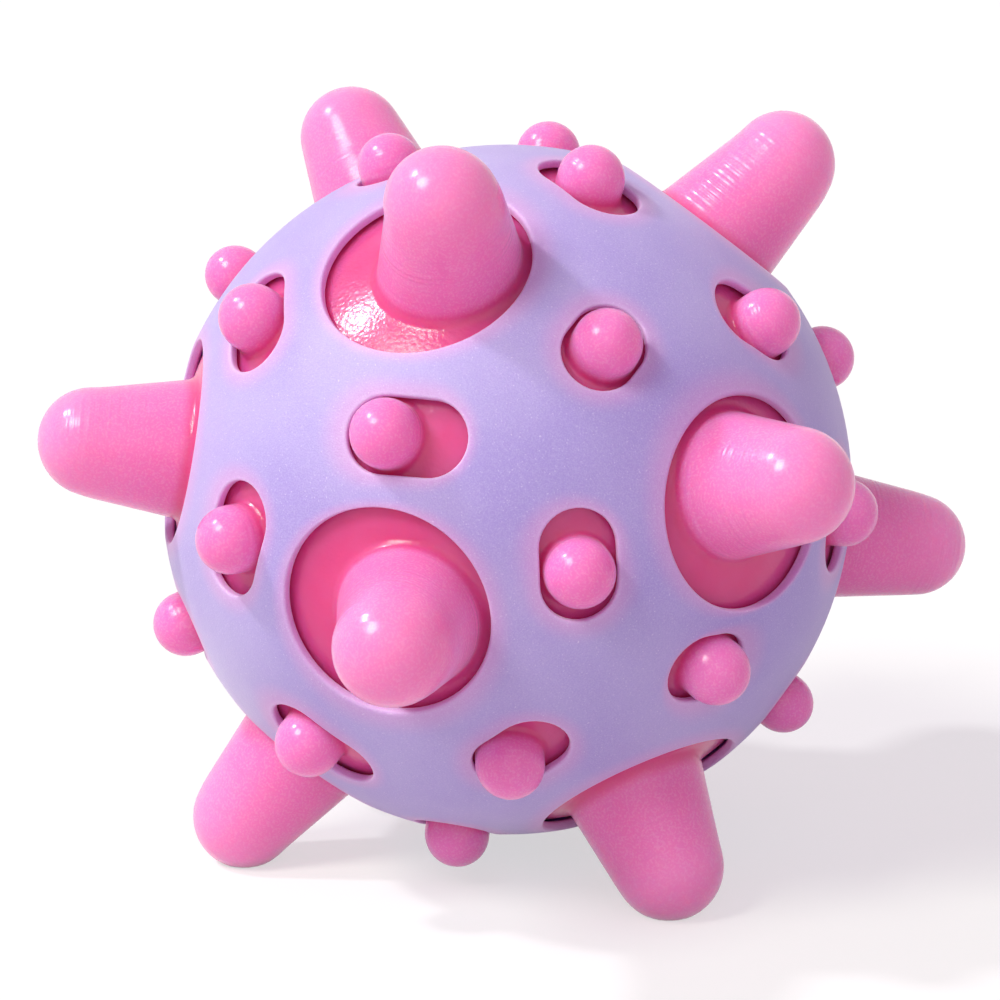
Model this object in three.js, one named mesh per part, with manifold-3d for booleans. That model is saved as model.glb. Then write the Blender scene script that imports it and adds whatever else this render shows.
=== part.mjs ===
// Soft light-up ball. A pink rubber ball with cone spikes and small round knobs stands out through the
// holes of a stretchy lavender skin. A plug in the ball's filling hole carries a clear capsule at its
// centre, with three lamps, a bounce switch and a stack of button cells.
// Millimetres, +Z up. The ball stands on three spikes on the plane z = 0, with its centre above the origin.

import * as THREE from "three";
import { mergeVertices } from "three/addons/utils/BufferGeometryUtils.js";
import Module from "manifold-3d";

const wasm = await Module();
wasm.setup();

// Skin
const SKIN_RADIUS = 36; // outside of the skin
const SKIN_WALL = 1;
const SKIN_GAP = 0.3; // between the skin and the ball under it

// Ball, spikes and knobs
const BALL_WALL = 4;
const SPIKE_STAND = 12.7; // spike tip above the outside of the skin
const SPIKE_TIP_RADIUS = 5.6;
const SPIKE_TAPER = 10; // degrees from the spike's axis to its flank
const SPIKE_FILLET = 1.2; // flare where a spike grows out of the ball
const FLARE_EDGE = 20; // degrees at which the flare leaves the ball
const SPIKE_PLAY = 3.7; // round a spike, in its hole
const SPIKE_SQUASH = 0.5; // how far the three standing spikes are pressed flat
const KNOB_RADIUS = 3.4;
const KNOB_STAND = 3.7; // knob tip above the outside of the skin
const KNOB_PLAY_ACROSS = 0.35; // beside a knob, across its slot
const KNOB_PLAY_ALONG = 2.7; // beside a knob, along its slot

// Where the soft rubber has settled off the even pattern, as shifts along X, Y and Z of a hole in the skin,
// of its spike's foot and of the spike's tip. Each place is given in degrees round the ball and up it.
const SETTLED = [
  { azimuth: 270, elevation: -10.8, hole: [0.1, -0.4, 2], foot: [2.2, 0, 1.7], tip: [4.3, 0, 2.7] },
  { azimuth: 270, elevation: 52.6, hole: [-0.4, -1.2, -0.9], foot: [1.7, -0.8, -0.6], tip: [3.4, -1, -0.7] },
  { azimuth: 30, elevation: 52.6, hole: [0, 0, 0], foot: [1.6, 0.5, -0.4], tip: [2.8, 0.8, -0.7] },
];

// Plug
const PLUG_HEAD_RADIUS = 7.4;
const PLUG_HEAD_DEPTH = 1.8; // how deep the head's seat lies in the ball
const PLUG_NECK_RADIUS = 5.4;
const PLUG_LIP_RADIUS = 8; // barb behind the ball's wall
const PLUG_LIP_HEIGHT = 3;
const PLUG_STEM_RADIUS = 3.6;
const CUP_DEPTH = 5; // of the cup that grips the capsule
const CUP_WALL = 1.6;

// Capsule
const CAPSULE_WALL = 1.2;
const CAPSULE_SHOULDER = 1.2; // joint between the halves, above the board
const SPIGOT_HEIGHT = 1.6; // the base's thin rim, inside the dome
const SPIGOT_WALL = 0.55;
const DOME_RISE = 3; // straight side of the dome above its joint

// Board and lamps
const BOARD_RADIUS = 9;
const BOARD_THICKNESS = 1;
const LAMP_RADIUS = 1.5;
const LAMP_HEIGHT = 5.3;
const LAMP_FLANGE_RADIUS = 1.9;
const LAMP_FLANGE_HEIGHT = 1;
const LAMP_INSET = 3.8; // from the board's edge to a lamp's middle
const LEAD_SIDE = 0.5; // square wire
const LEAD_PITCH = 2.54;
const TAIL = 0.6; // wire left standing under the board
const CHIP_RADIUS = 2.3;
const CHIP_HEIGHT = 1.1;

// Bounce switch
const SWITCH_INSET = 4.3; // from the board's edge to the switch's middle
const COIL_RADIUS = 1.5; // to the middle of the wire
const COIL_WIRE = 0.3; // diameter
const COIL_PITCH = 0.95;
const COIL_TURNS = 8;
const PIN_RADIUS = 0.35;
const PIN_HEIGHT = 6.8; // above the board

// Button cells
const CELL_COUNT = 3;
const CELL_RADIUS = 5.8;
const CELL_HEIGHT = 3.05;
const CELL_CAP_RADIUS = 4.9;
const CELL_CAP_HEIGHT = 0.3;
const CELL_CHAMFER = 0.3;
const SLEEVE_WALL = 0.3;
const STRIP = 0.3; // thickness of the two metal strips
const STRIP_WIDTH = 3;
const CONTACT_RISE = 0.8; // the upper strip's bow under the board
const CONTACT_REACH = 3.5; // half the length of the upper strip

// Clearances
const FIT = 0.3; // beside a piece that slips into another
const SEAT = 0.1; // under a piece that rests on another

// Facets
const SKIN_STEPS = 5; // along each edge of the pattern
const BALL_STEPS = 4; // also of the skin's inside, so that the two lie facet to facet
const CAVITY_STEPS = 4;
const SPIKE_SIDES = 12;
const FLARE_STEPS = 2;
const TIP_STEPS = 3; // from the side of a round tip to its top
const KNOB_SIDES = 8;
const HOLE_SIDES = 16;
const SLOT_END_STEPS = 2; // round a quarter of each slot's end
const PLUG_SIDES = 16;
const HEAD_STEPS = 2;
const CAPSULE_SIDES = 18;
const DOME_STEPS = 5;
const CELL_SIDES = 16;
const LAMP_SIDES = 10;
const WIRE_SIDES = 8;
const CHIP_SIDES = 16;
const COIL_STEPS = 8; // in one turn
const COIL_SIDES = 5;

const UP = new THREE.Vector3(0, 0, 1);
const DOWN = new THREE.Vector3(0, 0, -1);
const LATHE_AXIS = new THREE.Vector3(0, 1, 0);

const SAME_PLACE = 0.1; // between two directions, as a share of their length, to count as one

const point = (x, y) => new THREE.Vector2(x, y);
const point3 = (x, y, z) => new THREE.Vector3(x, y, z);
const radians = THREE.MathUtils.degToRad;

// Ball sizes that follow from the driving ones
const skinInside = SKIN_RADIUS - SKIN_WALL;
const ballRadius = skinInside - SKIN_GAP;
const cavityRadius = ballRadius - BALL_WALL;
const spikeCentre = SKIN_RADIUS + SPIKE_STAND - SPIKE_TIP_RADIUS;
const knobCentre = SKIN_RADIUS + KNOB_STAND - KNOB_RADIUS;

// A closed geometry as a solid that can be joined and cut, and back again
function solid(geometry) {
  const bare = geometry.clone();
  bare.deleteAttribute("normal");
  bare.deleteAttribute("uv");
  const shared = mergeVertices(bare, 1e-4);
  const vertProperties = new Float32Array(shared.getAttribute("position").array);
  const triVerts = new Uint32Array(shared.getIndex().array);
  return new wasm.Manifold(new wasm.Mesh({ numProp: 3, vertProperties, triVerts }));
}

function geometryOf(body) {
  const mesh = body.getMesh();
  const geometry = new THREE.BufferGeometry();
  geometry.setAttribute("position", new THREE.BufferAttribute(mesh.vertProperties, 3));
  geometry.setIndex(new THREE.BufferAttribute(mesh.triVerts, 1));
  geometry.computeVertexNormals();
  return geometry;
}

function named(name, geometry, colour, roughness, metalness = 0) {
  const material = new THREE.MeshStandardMaterial({ color: colour, roughness, metalness });
  const mesh = new THREE.Mesh(geometry, material);
  mesh.name = name;
  return mesh;
}

// A profile of (radius, height) points turned round the Z axis
function turned(profile, sides) {
  return new THREE.LatheGeometry(profile, sides).rotateX(Math.PI / 2);
}

// A profile of (radius, distance from the ball's centre) points turned round a direction out of the centre
function turnedAlong(profile, sides, direction) {
  const swing = new THREE.Quaternion().setFromUnitVectors(LATHE_AXIS, direction);
  return new THREE.LatheGeometry(profile, sides).applyQuaternion(swing);
}

// Points on an arc about (0, height) or (x, height), from one angle to another, measured from the +x axis
function arc(x, height, radius, from, to, steps) {
  const angles = Array.from({ length: steps + 1 }, (_, i) => from + ((to - from) * i) / steps);
  return angles.map((a) => point(x + radius * Math.cos(a), height + radius * Math.sin(a)));
}

// The pattern of the ball: an icosahedron that stands on one face, with a corner of that face towards +Y.
// A spike grows at each corner and a knob at the middle of each edge.
function standingTurn() {
  const corners = new THREE.IcosahedronGeometry(1, 0).getAttribute("position");
  const corner = (i) => new THREE.Vector3().fromBufferAttribute(corners, i);
  const face = corner(0).add(corner(1)).add(corner(2)).normalize();
  const faceDown = new THREE.Quaternion().setFromUnitVectors(face, DOWN);
  const first = corner(0).applyQuaternion(faceDown);
  const azimuth = Math.PI / 2 - Math.atan2(first.y, first.x);
  return new THREE.Quaternion().setFromAxisAngle(UP, azimuth).multiply(faceDown);
}

const standing = standingTurn();

function ballOf(radius, steps) {
  return solid(new THREE.IcosahedronGeometry(radius, steps).applyQuaternion(standing));
}

function spikeDirections() {
  const corners = new THREE.IcosahedronGeometry(1, 0).applyQuaternion(standing);
  corners.deleteAttribute("normal");
  corners.deleteAttribute("uv");
  const places = mergeVertices(corners, 1e-4).getAttribute("position");
  const all = Array.from({ length: places.count }, (_, i) => i);
  return all.map((i) => new THREE.Vector3().fromBufferAttribute(places, i).normalize());
}

// Each knob's way out of the ball, with the line of the edge that it stands on
function knobPlaces(spikes) {
  const places = [];
  spikes.forEach((a, i) =>
    spikes.slice(i + 1).forEach((b) => {
      const isEdge = a.dot(b) > 0;
      if (isEdge) {
        const out = a.clone().add(b).normalize();
        const edge = b.clone().sub(a).normalize();
        places.push({ out, edge });
      }
    }),
  );
  return places;
}

const spikes = spikeDirections();
const knobs = knobPlaces(spikes);
const lowestSpike = Math.max(...spikes.map((direction) => direction.dot(DOWN)));
const standingHeight = spikeCentre * lowestSpike + SPIKE_TIP_RADIUS - SPIKE_SQUASH;

// Radius of a spike's straight flank, at a distance from the ball's centre
function flankRadius(distance) {
  const taper = radians(SPIKE_TAPER);
  return (SPIKE_TIP_RADIUS + (spikeCentre - distance) * Math.sin(taper)) / Math.cos(taper);
}

// Spike profile: root inside the ball's wall, flare tangent to the ball and the flank, then the round tip
function spikeProfile() {
  const taper = radians(SPIKE_TAPER);
  const reach = ballRadius + SPIKE_FILLET;
  const offset = SPIKE_TIP_RADIUS + SPIKE_FILLET + spikeCentre * Math.sin(taper);
  const flareAngle = Math.acos(offset / reach) + taper;
  const flareX = reach * Math.cos(flareAngle);
  const flareY = reach * Math.sin(flareAngle);
  const flareFoot = flareAngle - Math.PI - radians(FLARE_EDGE);
  const flare = arc(flareX, flareY, SPIKE_FILLET, flareFoot, taper - Math.PI, FLARE_STEPS);
  const rootDepth = (ballRadius - BALL_WALL / 2) / ballRadius;
  const root = flare[0].clone().multiplyScalar(rootDepth);
  const tip = arc(0, spikeCentre, SPIKE_TIP_RADIUS, taper, Math.PI / 2, TIP_STEPS);
  tip[tip.length - 1].x = 0;
  return [point(0, root.y), root, ...flare, ...tip];
}

// How the soft rubber has settled at one place of the pattern
function settledAt(direction) {
  const here = SETTLED.find(({ azimuth, elevation }) => {
    const side = Math.cos(radians(elevation));
    const x = side * Math.cos(radians(azimuth));
    const y = side * Math.sin(radians(azimuth));
    return direction.distanceTo(point3(x, y, Math.sin(radians(elevation)))) < SAME_PLACE;
  });
  const shift = (name) => point3(...(here ? here[name] : [0, 0, 0]));
  return { hole: shift("hole"), foot: shift("foot"), tip: shift("tip") };
}

// A direction that has slid along a sphere
function slid(direction, radius, shift) {
  return direction.clone().multiplyScalar(radius).add(shift).normalize();
}

// One spike on its settled foot, bent more and more towards its tip
function spike(direction) {
  const { foot, tip } = settledAt(direction);
  const out = slid(direction, ballRadius, foot);
  const geometry = turnedAlong(spikeProfile(), SPIKE_SIDES, out);
  const straightTip = out.clone().sub(direction).multiplyScalar(spikeCentre);
  const lean = tip.sub(straightTip);
  const corners = geometry.getAttribute("position");
  const corner = new THREE.Vector3();
  for (let i = 0; i < corners.count; i++) {
    corner.fromBufferAttribute(corners, i);
    const share = (corner.length() - ballRadius) / (spikeCentre - ballRadius);
    corner.addScaledVector(lean, THREE.MathUtils.clamp(share, 0, 1));
    corners.setXYZ(i, corner.x, corner.y, corner.z);
  }
  return solid(geometry);
}

function knobProfile() {
  const root = ballRadius - BALL_WALL / 2;
  const tip = arc(0, knobCentre, KNOB_RADIUS, 0, Math.PI / 2, TIP_STEPS);
  tip[tip.length - 1].x = 0;
  return [point(0, root), point(KNOB_RADIUS, root), ...tip];
}

// The plug's hole through the ball's wall, with a seat for its head
const plugSeat = -(ballRadius - PLUG_HEAD_DEPTH);

function plugHole() {
  const seatRadius = PLUG_HEAD_RADIUS + FIT;
  const neckRadius = PLUG_NECK_RADIUS + FIT;
  const outside = -SKIN_RADIUS;
  const inside = -cavityRadius + BALL_WALL;
  const profile = [
    point(0, outside),
    point(seatRadius, outside),
    point(seatRadius, plugSeat),
    point(neckRadius, plugSeat),
    point(neckRadius, inside),
    point(0, inside),
  ];
  return solid(turned(profile, PLUG_SIDES));
}

function innerBall() {
  let body = ballOf(ballRadius, BALL_STEPS);
  for (const direction of spikes) {
    body = body.add(spike(direction));
  }
  for (const { out } of knobs) {
    body = body.add(solid(turnedAlong(knobProfile(), KNOB_SIDES, out)));
  }
  body = body.subtract(ballOf(cavityRadius, CAVITY_STEPS)).subtract(plugHole());
  const floorSide = 4 * (SKIN_RADIUS + SPIKE_STAND);
  const floor = new THREE.BoxGeometry(floorSide, floorSide, floorSide);
  floor.translate(0, 0, -standingHeight - floorSide / 2);
  return geometryOf(body.subtract(solid(floor)));
}

// A round hole whose wall points at the ball's centre
function spikeHole(direction) {
  const sine = (flankRadius(SKIN_RADIUS) + SPIKE_PLAY) / SKIN_RADIUS;
  const slope = sine / Math.sqrt(1 - sine * sine);
  const inner = skinInside - 2 * SKIN_WALL - skinInside * sine * slope;
  const outer = SKIN_RADIUS + 2 * SKIN_WALL;
  const cone = [point(inner * slope, inner), point(outer * slope, outer)];
  const profile = [point(0, inner), ...cone, point(0, outer)];
  const out = slid(direction, SKIN_RADIUS, settledAt(direction).hole);
  return solid(turnedAlong(profile, HOLE_SIDES, out));
}

// A round-ended slot that lies across the edge between two spikes
function knobSlot({ out, edge }) {
  const halfWidth = KNOB_RADIUS + KNOB_PLAY_ACROSS;
  const halfStraight = KNOB_RADIUS + KNOB_PLAY_ALONG - halfWidth;
  const outline = new THREE.Shape();
  outline.absarc(halfStraight, 0, halfWidth, -Math.PI / 2, Math.PI / 2);
  outline.absarc(-halfStraight, 0, halfWidth, Math.PI / 2, (3 * Math.PI) / 2);
  const inner = skinInside - 2 * SKIN_WALL;
  const outer = SKIN_RADIUS + SKIN_WALL;
  const options = { depth: outer - inner, bevelEnabled: false, curveSegments: SLOT_END_STEPS };
  const slot = new THREE.ExtrudeGeometry(outline, options).translate(0, 0, inner);
  const across = edge.clone().cross(out);
  return solid(slot.applyMatrix4(new THREE.Matrix4().makeBasis(across, edge, out)));
}

function outerShell() {
  let body = ballOf(SKIN_RADIUS, SKIN_STEPS).subtract(ballOf(skinInside, BALL_STEPS));
  for (const direction of spikes) {
    body = body.subtract(spikeHole(direction));
  }
  for (const place of knobs) {
    body = body.subtract(knobSlot(place));
  }
  return geometryOf(body);
}

// Levels of the light module, from the board's top at the ball's centre downwards
const boardBottom = -BOARD_THICKNESS;
const contactTop = boardBottom - CONTACT_RISE;
const stackTop = contactTop - STRIP - SEAT;
const cellStep = CELL_HEIGHT + SEAT;
const stackBottom = stackTop - CELL_COUNT * cellStep + SEAT;
const strapTop = stackBottom - SEAT;
const strapBottom = strapTop - STRIP;
const capsuleFloor = strapBottom - SEAT;
const capsuleBottom = capsuleFloor - CAPSULE_WALL;

// Radii of the light module, from the cells outwards
const sleeveInside = CELL_RADIUS + SEAT;
const sleeveOutside = sleeveInside + SLEEVE_WALL;
const strapInside = sleeveOutside + FIT;
const strapOutside = strapInside + STRIP;
const wellRadius = Math.hypot(strapOutside + SEAT, STRIP_WIDTH / 2);
const boardPocket = BOARD_RADIUS + FIT;
const capsuleRadius = boardPocket + CAPSULE_WALL;
const spigotRadius = boardPocket + SPIGOT_WALL;
const spigotTop = CAPSULE_SHOULDER + SPIGOT_HEIGHT;
const domeCentre = CAPSULE_SHOULDER + DOME_RISE;

// Height on the lower half of a sphere round the ball's centre
const lowerSphere = (radius, x) => -Math.sqrt(radius * radius - x * x);

function lowerSphereArc(radius, fromX, toX, steps) {
  const from = Math.atan2(lowerSphere(radius, fromX), fromX);
  const to = Math.atan2(lowerSphere(radius, toX), toX);
  return arc(0, 0, radius, from, to, steps);
}

// Plug: head just under the ball's surface, neck through its wall, barb behind it, stem and capsule cup
function ballPlug() {
  const head = lowerSphereArc(ballRadius - FIT, 0, PLUG_HEAD_RADIUS, HEAD_STEPS);
  head[0].x = 0;
  const headTop = plugSeat - SEAT;
  const barb = lowerSphereArc(cavityRadius - FIT, PLUG_NECK_RADIUS, PLUG_LIP_RADIUS, HEAD_STEPS);
  const barbTop = barb[barb.length - 1].y + PLUG_LIP_HEIGHT;
  const cupInside = capsuleRadius + FIT;
  const cupOutside = cupInside + CUP_WALL;
  const cupFloor = capsuleBottom - SEAT;
  const cupBottom = cupFloor - CUP_WALL;
  const cupRim = cupFloor + CUP_DEPTH;
  const profile = [
    ...head,
    point(PLUG_HEAD_RADIUS, headTop),
    point(PLUG_NECK_RADIUS, headTop),
    ...barb,
    point(PLUG_STEM_RADIUS, barbTop),
    point(PLUG_STEM_RADIUS, cupBottom),
    point(cupOutside - CUP_WALL, cupBottom),
    point(cupOutside, cupFloor),
    point(cupOutside, cupRim),
    point(cupInside, cupRim),
    point(cupInside, cupFloor),
    point(0, cupFloor),
  ];
  return turned(profile, PLUG_SIDES);
}

function capsuleBase() {
  const ledge = boardBottom - SEAT;
  const chamfer = CAPSULE_WALL / 2;
  const profile = [
    point(0, capsuleBottom),
    point(capsuleRadius - chamfer, capsuleBottom),
    point(capsuleRadius, capsuleBottom + chamfer),
    point(capsuleRadius, CAPSULE_SHOULDER),
    point(spigotRadius, CAPSULE_SHOULDER),
    point(spigotRadius, spigotTop),
    point(boardPocket, spigotTop),
    point(boardPocket, ledge),
    point(wellRadius, ledge),
    point(wellRadius, capsuleFloor),
    point(0, capsuleFloor),
  ];
  return turned(profile, CAPSULE_SIDES);
}

function capsuleDome() {
  const rim = CAPSULE_SHOULDER + SEAT;
  const rebateRadius = spigotRadius + SEAT;
  const rebateTop = spigotTop + SEAT;
  const inside = arc(0, domeCentre, boardPocket, Math.PI / 2, 0, DOME_STEPS);
  const outside = arc(0, domeCentre, capsuleRadius, 0, Math.PI / 2, DOME_STEPS);
  inside[0].x = 0;
  outside[outside.length - 1].x = 0;
  const profile = [
    ...inside,
    point(boardPocket, rebateTop),
    point(rebateRadius, rebateTop),
    point(rebateRadius, rim),
    point(capsuleRadius, rim),
    ...outside,
  ];
  return turned(profile, CAPSULE_SIDES);
}

// An upright round bar, between two heights
function post(radius, bottom, top, sides) {
  const profile = [point(0, bottom), point(radius, bottom), point(radius, top), point(0, top)];
  return turned(profile, sides);
}

// Lamps stand at three corners of a triangle, with the bounce switch between the lower two
const lampCircle = BOARD_RADIUS - LAMP_INSET;
const lampAngles = [90, 210, 330].map(radians);
const lampPlaces = lampAngles.map((a) => ({
  x: lampCircle * Math.cos(a),
  y: lampCircle * Math.sin(a),
  leadX: (-LEAD_PITCH / 2) * Math.sin(a),
  leadY: (LEAD_PITCH / 2) * Math.cos(a),
}));
const switchY = SWITCH_INSET - BOARD_RADIUS;

function circuitBoard() {
  let body = solid(post(BOARD_RADIUS, boardBottom, 0, CAPSULE_SIDES));
  const drill = (radius, x, y) => {
    const bore = post(radius, boardBottom - BOARD_THICKNESS, BOARD_THICKNESS, WIRE_SIDES);
    body = body.subtract(solid(bore.translate(x, y, 0)));
  };
  const leadHole = LEAD_SIDE / Math.SQRT2 + SEAT;
  for (const { x, y, leadX, leadY } of lampPlaces) {
    drill(leadHole, x + leadX, y + leadY);
    drill(leadHole, x - leadX, y - leadY);
  }
  drill(PIN_RADIUS + SEAT, 0, switchY);
  return geometryOf(body);
}

function lamp() {
  const shoulder = LAMP_HEIGHT - LAMP_RADIUS;
  const lens = arc(0, shoulder, LAMP_RADIUS, 0, Math.PI / 2, TIP_STEPS);
  lens[lens.length - 1].x = 0;
  const profile = [
    point(0, 0),
    point(LAMP_FLANGE_RADIUS, 0),
    point(LAMP_FLANGE_RADIUS, LAMP_FLANGE_HEIGHT),
    point(LAMP_RADIUS, LAMP_FLANGE_HEIGHT),
    ...lens,
  ];
  return turned(profile, LAMP_SIDES);
}

function lead() {
  const length = BOARD_THICKNESS + TAIL;
  return new THREE.BoxGeometry(LEAD_SIDE, LEAD_SIDE, length).translate(0, 0, -length / 2);
}

// A flattened drop
function chipBlob() {
  const drop = arc(0, 0, CHIP_RADIUS, 0, Math.PI / 2, TIP_STEPS);
  drop[drop.length - 1].x = 0;
  const flatten = CHIP_HEIGHT / CHIP_RADIUS;
  return turned([point(0, 0), ...drop], CHIP_SIDES).scale(1, 1, flatten);
}

// The bounce switch's coil, wound upwards from its foot on the board
class Helix extends THREE.Curve {
  getPoint(t, target = new THREE.Vector3()) {
    const angle = 2 * Math.PI * COIL_TURNS * t;
    const foot = FIT + COIL_WIRE / 2;
    const height = foot + COIL_PITCH * COIL_TURNS * t;
    return target.set(COIL_RADIUS * Math.cos(angle), COIL_RADIUS * Math.sin(angle), height);
  }
}

function vibrationSpring() {
  const round = arc(0, 0, COIL_WIRE / 2, 0, 2 * Math.PI, COIL_SIDES).slice(0, COIL_SIDES);
  const section = new THREE.Shape(round);
  const steps = COIL_TURNS * COIL_STEPS;
  return new THREE.ExtrudeGeometry(section, { steps, extrudePath: new Helix(), bevelEnabled: false });
}

// Least space between one turn of the coil and the rest of it, measured on points along the wire
function coilGap() {
  const stepsInTurn = 3 * COIL_STEPS;
  const wire = new Helix().getPoints(COIL_TURNS * stepsInTurn);
  const nearby = stepsInTurn / 2;
  let least = Infinity;
  wire.forEach((a, i) =>
    wire.slice(i + nearby).forEach((b) => {
      least = Math.min(least, a.distanceTo(b));
    }),
  );
  return least - COIL_WIRE;
}

console.log(`vibration_spring: least gap to itself ${coilGap().toFixed(2)} mm`);

function buttonCell() {
  const can = CELL_HEIGHT - CELL_CAP_HEIGHT;
  const profile = [
    point(0, 0),
    point(CELL_RADIUS - CELL_CHAMFER, 0),
    point(CELL_RADIUS, CELL_CHAMFER),
    point(CELL_RADIUS, can),
    point(CELL_CAP_RADIUS, can),
    point(CELL_CAP_RADIUS, CELL_HEIGHT),
    point(0, CELL_HEIGHT),
  ];
  return turned(profile, CELL_SIDES);
}

function cellSleeve() {
  const profile = [
    point(sleeveInside, stackBottom),
    point(sleeveOutside, stackBottom),
    point(sleeveOutside, stackTop),
    point(sleeveInside, stackTop),
    point(sleeveInside, stackBottom),
  ];
  return turned(profile, CELL_SIDES);
}

// A flat strip bent up at one end: its foot lies between two places on X, and its leg rises to a height
function bentStrip(fromX, toX, footBottom, legTop) {
  const outline = new THREE.Shape();
  outline.moveTo(fromX, footBottom);
  outline.lineTo(toX, footBottom);
  outline.lineTo(toX, legTop);
  outline.lineTo(toX - STRIP, legTop);
  outline.lineTo(toX - STRIP, footBottom + STRIP);
  outline.lineTo(fromX, footBottom + STRIP);
  outline.closePath();
  const strip = new THREE.ExtrudeGeometry(outline, { depth: STRIP_WIDTH, bevelEnabled: false });
  return strip.rotateX(Math.PI / 2).translate(0, STRIP_WIDTH / 2, 0);
}

// Assembly, round the ball's centre
const ball = new THREE.Group();
ball.position.z = standingHeight;
const add = (mesh, x = 0, y = 0, z = 0) => {
  mesh.position.set(x, y, z);
  ball.add(mesh);
};

add(named("outer_shell", outerShell(), 0xbfa7dc, 0.6));
add(named("inner_ball", innerBall(), 0xe881b6, 0.35));
add(named("ball_plug", ballPlug(), 0xe06fa6, 0.45));
add(named("capsule_base", capsuleBase(), 0xeef2f4, 0.2));
add(named("capsule_dome", capsuleDome(), 0xf4f8fa, 0.1));
add(named("circuit_board", circuitBoard(), 0x2f7a46, 0.5));
add(named("chip_blob", chipBlob(), 0x151515, 0.3), 0, 0, SEAT);
add(named("vibration_spring", vibrationSpring(), 0xc9b36a, 0.3, 1), 0, switchY);
const pin = post(PIN_RADIUS, boardBottom - TAIL, PIN_HEIGHT, WIRE_SIDES);
add(named("vibration_pin", pin, 0xc8ccd0, 0.3, 1), 0, switchY);

const lampColours = { led_red: 0xd8302c, led_green: 0x3cc24a, led_blue: 0x3266d8 };
Object.entries(lampColours).forEach(([name, colour], i) => {
  const { x, y, leadX, leadY } = lampPlaces[i];
  add(named(name, lamp(), colour, 0.1), x, y, SEAT);
  const turnToLeads = new THREE.Euler(0, 0, lampAngles[i]);
  const anode = named(`${name}_anode`, lead(), 0xc8ccd0, 0.3, 1);
  const cathode = named(`${name}_cathode`, lead(), 0xc8ccd0, 0.3, 1);
  anode.setRotationFromEuler(turnToLeads);
  cathode.setRotationFromEuler(turnToLeads);
  add(anode, x + leadX, y + leadY);
  add(cathode, x - leadX, y - leadY);
});

for (let i = 0; i < CELL_COUNT; i++) {
  add(named(`button_cell_${i + 1}`, buttonCell(), 0xc4c7ca, 0.25, 1), 0, 0, stackBottom + i * cellStep);
}
add(named("cell_sleeve", cellSleeve(), 0x2a4f9a, 0.4));
const stripTop = boardBottom - SEAT;
const strap = bentStrip(-CELL_RADIUS, strapOutside, strapBottom, stripTop);
const contact = bentStrip(-CONTACT_REACH, CONTACT_REACH, contactTop - STRIP, stripTop);
add(named("cell_strap", strap, 0xc8ccd0, 0.3, 1));
add(named("cell_contact", contact, 0xc8ccd0, 0.3, 1));

const lightUpBall = new THREE.Group();
lightUpBall.add(ball);
export default lightUpBall;
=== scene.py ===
# Looks of the soft light-up ball: the lavender skin, the pink ball with its spikes and knobs, and the
# finishes of the light module inside, in a plain white studio.

import math

import bmesh
import bpy
import numpy as np
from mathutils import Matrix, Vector
from mathutils.geometry import delaunay_2d_cdt


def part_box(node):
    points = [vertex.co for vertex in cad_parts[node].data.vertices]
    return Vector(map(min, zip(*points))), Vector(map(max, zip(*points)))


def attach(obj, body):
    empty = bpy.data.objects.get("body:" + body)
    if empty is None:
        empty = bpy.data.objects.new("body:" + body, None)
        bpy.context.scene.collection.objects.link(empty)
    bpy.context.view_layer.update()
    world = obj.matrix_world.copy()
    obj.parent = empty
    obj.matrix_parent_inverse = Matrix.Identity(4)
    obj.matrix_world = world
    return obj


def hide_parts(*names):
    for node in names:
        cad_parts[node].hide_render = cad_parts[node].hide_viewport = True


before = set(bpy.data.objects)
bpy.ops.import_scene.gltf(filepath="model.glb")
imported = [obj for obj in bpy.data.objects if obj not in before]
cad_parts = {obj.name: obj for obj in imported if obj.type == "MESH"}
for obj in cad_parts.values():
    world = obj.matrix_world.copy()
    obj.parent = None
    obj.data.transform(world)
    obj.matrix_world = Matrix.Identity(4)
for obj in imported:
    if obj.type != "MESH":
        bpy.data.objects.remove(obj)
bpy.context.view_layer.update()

MM = 0.001

# Sizes of the two soft pieces, as in the solids
SKIN_RADIUS = 36 * MM
SKIN_WALL = 1 * MM
SKIN_GAP = 0.3 * MM
BALL_RADIUS = SKIN_RADIUS - SKIN_WALL - SKIN_GAP
BALL_WALL = 4 * MM
SPIKE_TIP_RADIUS = 5.6 * MM
SPIKE_CENTRE = SKIN_RADIUS + 12.7 * MM - SPIKE_TIP_RADIUS
SPIKE_TAPER = math.radians(10)
SPIKE_FILLET = 1.2 * MM
SPIKE_HOLE = 10.6 * MM
KNOB_RADIUS = 3.4 * MM
KNOB_CENTRE = SKIN_RADIUS + 3.7 * MM - KNOB_RADIUS
KNOB_FILLET = 0.6 * MM
SLOT_HALF_WIDTH = KNOB_RADIUS + 0.34 * MM
SLOT_HALF_STRAIGHT = 2.25 * MM
RIM_ROUND = 0.3 * MM
FIT = 0.3 * MM
SEAT = 0.1 * MM
PLUG_HEAD_RADIUS = 7.4 * MM
PLUG_NECK_RADIUS = 5.4 * MM
PLUG_SEAT_DEPTH = 1.8 * MM
PLUG_LIP_RADIUS = 8 * MM
PLUG_LIP_HEIGHT = 3 * MM
PLUG_STEM_RADIUS = 3.6 * MM
PLUG_ROUND = 0.5 * MM
MOUTH_RADIUS = PLUG_HEAD_RADIUS + FIT
THROAT_RADIUS = PLUG_NECK_RADIUS + FIT
CUP_DEPTH = 5 * MM
CUP_WALL = 1.6 * MM
SLEEVE_WALL = 0.3 * MM
COIL_RADIUS = 1.5 * MM
COIL_WIRE = 0.3 * MM
COIL_PITCH = 0.95 * MM
COIL_TURNS = 8

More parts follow.
